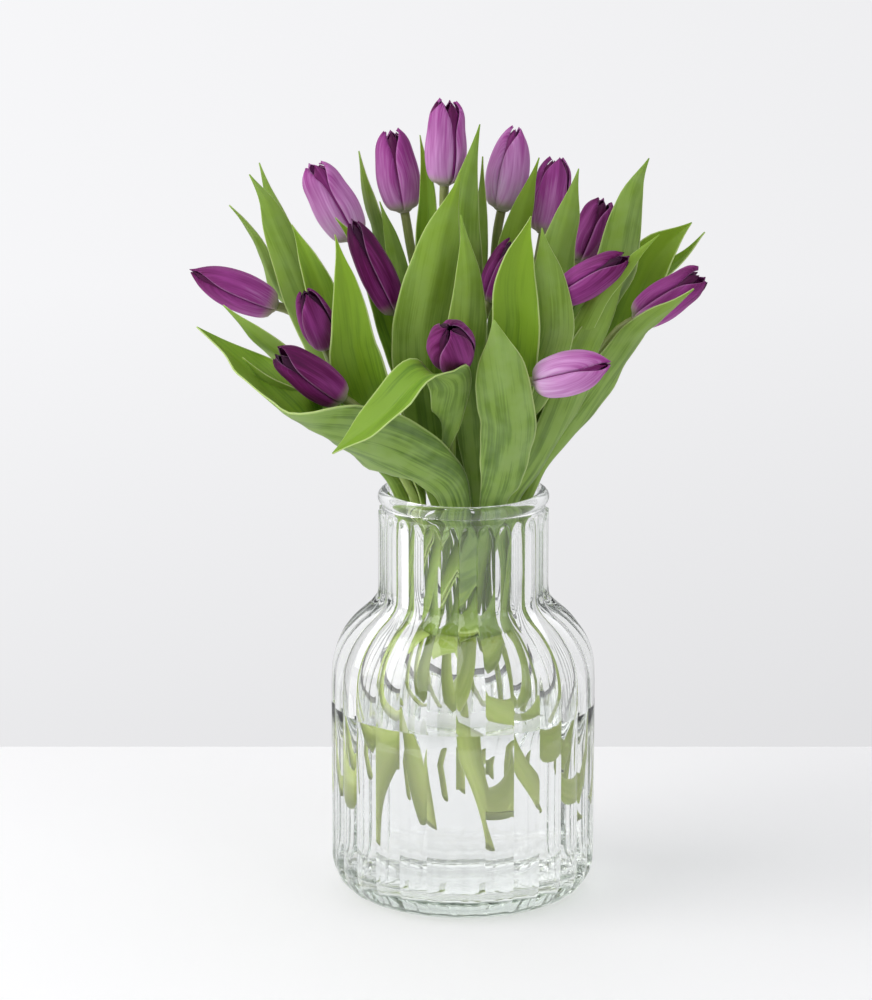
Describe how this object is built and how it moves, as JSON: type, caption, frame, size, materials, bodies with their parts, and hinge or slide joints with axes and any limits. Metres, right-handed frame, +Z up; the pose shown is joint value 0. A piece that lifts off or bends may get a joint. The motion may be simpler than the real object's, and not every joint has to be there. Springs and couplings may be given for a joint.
{
  "type": "tulips in a vase",
  "caption": "Hand-tied bunch of closed purple tulips with long clasping leaves, spreading from the narrow neck of a fluted clear glass vase part filled with water.",
  "frame": {"origin": "centre of the vase's flat underside, on the surface it stands on", "axes": "+Z up along the vase's axis; -Y is the front of the bunch, +X its right"},
  "size_m": [0.2949, 0.1916, 0.4623],
  "materials": {
    "glass": "clear, faint grey-green tint, polished",
    "water": "clear water, still",
    "stem": "satin living skin, pale green",
    "leaf": "satin with a thin waxy bloom, mid green",
    "petal": "soft silky sheen, red-purple"
  },
  "bodies": {
    "root": {"vase": "glass", "water": "water", "tulip_01_stem": "stem", "tulip_01_bloom": "petal", "tulip_01_leaf_1": "leaf", "tulip_01_leaf_2": "leaf", "tulip_02_stem": "stem", "tulip_02_bloom": "petal", "tulip_02_leaf_1": "leaf", "tulip_02_leaf_2": "leaf", "tulip_03_stem": "stem", "tulip_03_bloom": "petal", "tulip_03_leaf_1": "leaf", "tulip_03_leaf_2": "leaf", "tulip_04_stem": "stem", "tulip_04_bloom": "petal", "tulip_04_leaf_1": "leaf", "tulip_04_leaf_2": "leaf", "tulip_05_stem": "stem", "tulip_05_bloom": "petal", "tulip_05_leaf_1": "leaf", "tulip_05_leaf_2": "leaf", "tulip_06_stem": "stem", "tulip_06_bloom": "petal", "tulip_06_leaf_1": "leaf", "tulip_06_leaf_2": "leaf", "tulip_07_stem": "stem", "tulip_07_bloom": "petal", "tulip_07_leaf_1": "leaf", "tulip_08_stem": "stem", "tulip_08_bloom": "petal", "tulip_08_leaf_1": "leaf", "tulip_08_leaf_2": "leaf", "tulip_09_stem": "stem", "tulip_09_bloom": "petal", "tulip_09_leaf_1": "leaf", "tulip_09_leaf_2": "leaf", "tulip_10_stem": "stem", "tulip_10_bloom": "petal", "tulip_10_leaf_1": "leaf", "tulip_10_leaf_2": "leaf", "tulip_11_stem": "stem", "tulip_11_bloom": "petal", "tulip_11_leaf_1": "leaf", "tulip_11_leaf_2": "leaf", "tulip_12_stem": "stem", "tulip_12_bloom": "petal", "tulip_12_leaf_1": "leaf", "tulip_12_leaf_2": "leaf", "tulip_13_stem": "stem", "tulip_13_bloom": "petal", "tulip_13_leaf_1": "leaf", "tulip_13_leaf_2": "leaf", "tulip_14_stem": "stem", "tulip_14_bloom": "petal", "tulip_14_leaf_1": "leaf", "tulip_14_leaf_2": "leaf", "tulip_15_stem": "stem", "tulip_15_bloom": "petal", "tulip_15_leaf_1": "leaf"}
  },
  "joints": []
}
